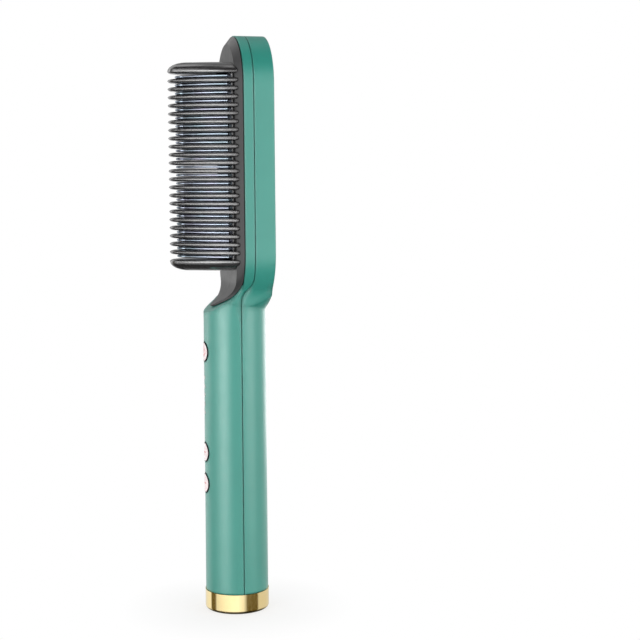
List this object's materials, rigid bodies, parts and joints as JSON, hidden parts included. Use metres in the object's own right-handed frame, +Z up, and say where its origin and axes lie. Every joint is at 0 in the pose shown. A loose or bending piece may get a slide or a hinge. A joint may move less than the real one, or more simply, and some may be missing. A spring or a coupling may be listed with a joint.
{
  "type": "hair straightening brush",
  "caption": "Hair straightening brush: round handle with push buttons, flat capsule head with a framed back panel, and a guarded comb of heated fins.",
  "frame": {"origin": "centre of the end cap's flat foot, in the middle of the charging socket's mouth", "axes": "+Z up the handle towards the head, -Y the way the comb and the buttons face, +X to the right seen from the comb's side"},
  "size_m": [0.0462, 0.0446, 0.265],
  "materials": {
    "casing": "satin",
    "gold_cap": "polished plating",
    "champagne_trim": "satin anodised",
    "panel_green": "gloss",
    "bezel_grey": "fine texture",
    "guard_black": "gloss",
    "fin_metal": "polished coating",
    "button_pale": "satin",
    "lens_clear": "clear",
    "ceramic_white": "white ceramic",
    "film_amber": "smooth film",
    "steel": "brushed",
    "shield_white": "dull",
    "sensor_glass": "bead",
    "lead_sleeve": "smooth sleeve",
    "board_green": "lacquered",
    "component_black": "dull",
    "component_white": "smooth",
    "cell_sleeve": "shrink sleeve"
  },
  "bodies": {
    "brush": {"front_shell": "casing", "rear_shell": "casing", "end_cap": "gold_cap", "trim_frame": "champagne_trim", "back_panel": "panel_green", "comb_bezel": "bezel_grey", "guard_comb": "guard_black", "heat_comb": "fin_metal", "indicator_lenses": "lens_clear", "heater_plates": "ceramic_white", "heater_film": "film_amber", "clamp_plate": "steel", "clamp_screws": "steel", "heat_shield": "shield_white", "thermistor": "sensor_glass", "thermal_fuse": "steel", "case_screws": "steel", "heater_leads": "lead_sleeve", "sensor_leads": "lead_sleeve", "charge_leads": "lead_sleeve", "control_board": "board_green", "board_screws": "steel", "control_chip": "component_black", "power_transistor": "component_black", "switch_bodies": "component_black", "indicator_leds": "component_white", "battery_cell": "cell_sleeve", "battery_cradle": "component_black", "battery_tabs": "steel", "charge_board": "board_green", "charge_socket": "steel"},
    "power_key": {"power_button": "button_pale", "power_plunger": "component_white"},
    "plus_key": {"plus_button": "button_pale", "plus_plunger": "component_white"},
    "minus_key": {"minus_button": "button_pale", "minus_plunger": "component_white"}
  },
  "joints": [
    {"name": "power_press", "type": "slide", "parent": "brush", "child": "power_key", "axis": [0, 1, 0], "range_m": [0, 0.0005], "stiffness_N_per_m": 1200},
    {"name": "plus_press", "type": "slide", "parent": "brush", "child": "plus_key", "axis": [0, 1, 0], "range_m": [0, 0.0005], "stiffness_N_per_m": 1200},
    {"name": "minus_press", "type": "slide", "parent": "brush", "child": "minus_key", "axis": [0, 1, 0], "range_m": [0, 0.0005], "stiffness_N_per_m": 1200}
  ]
}
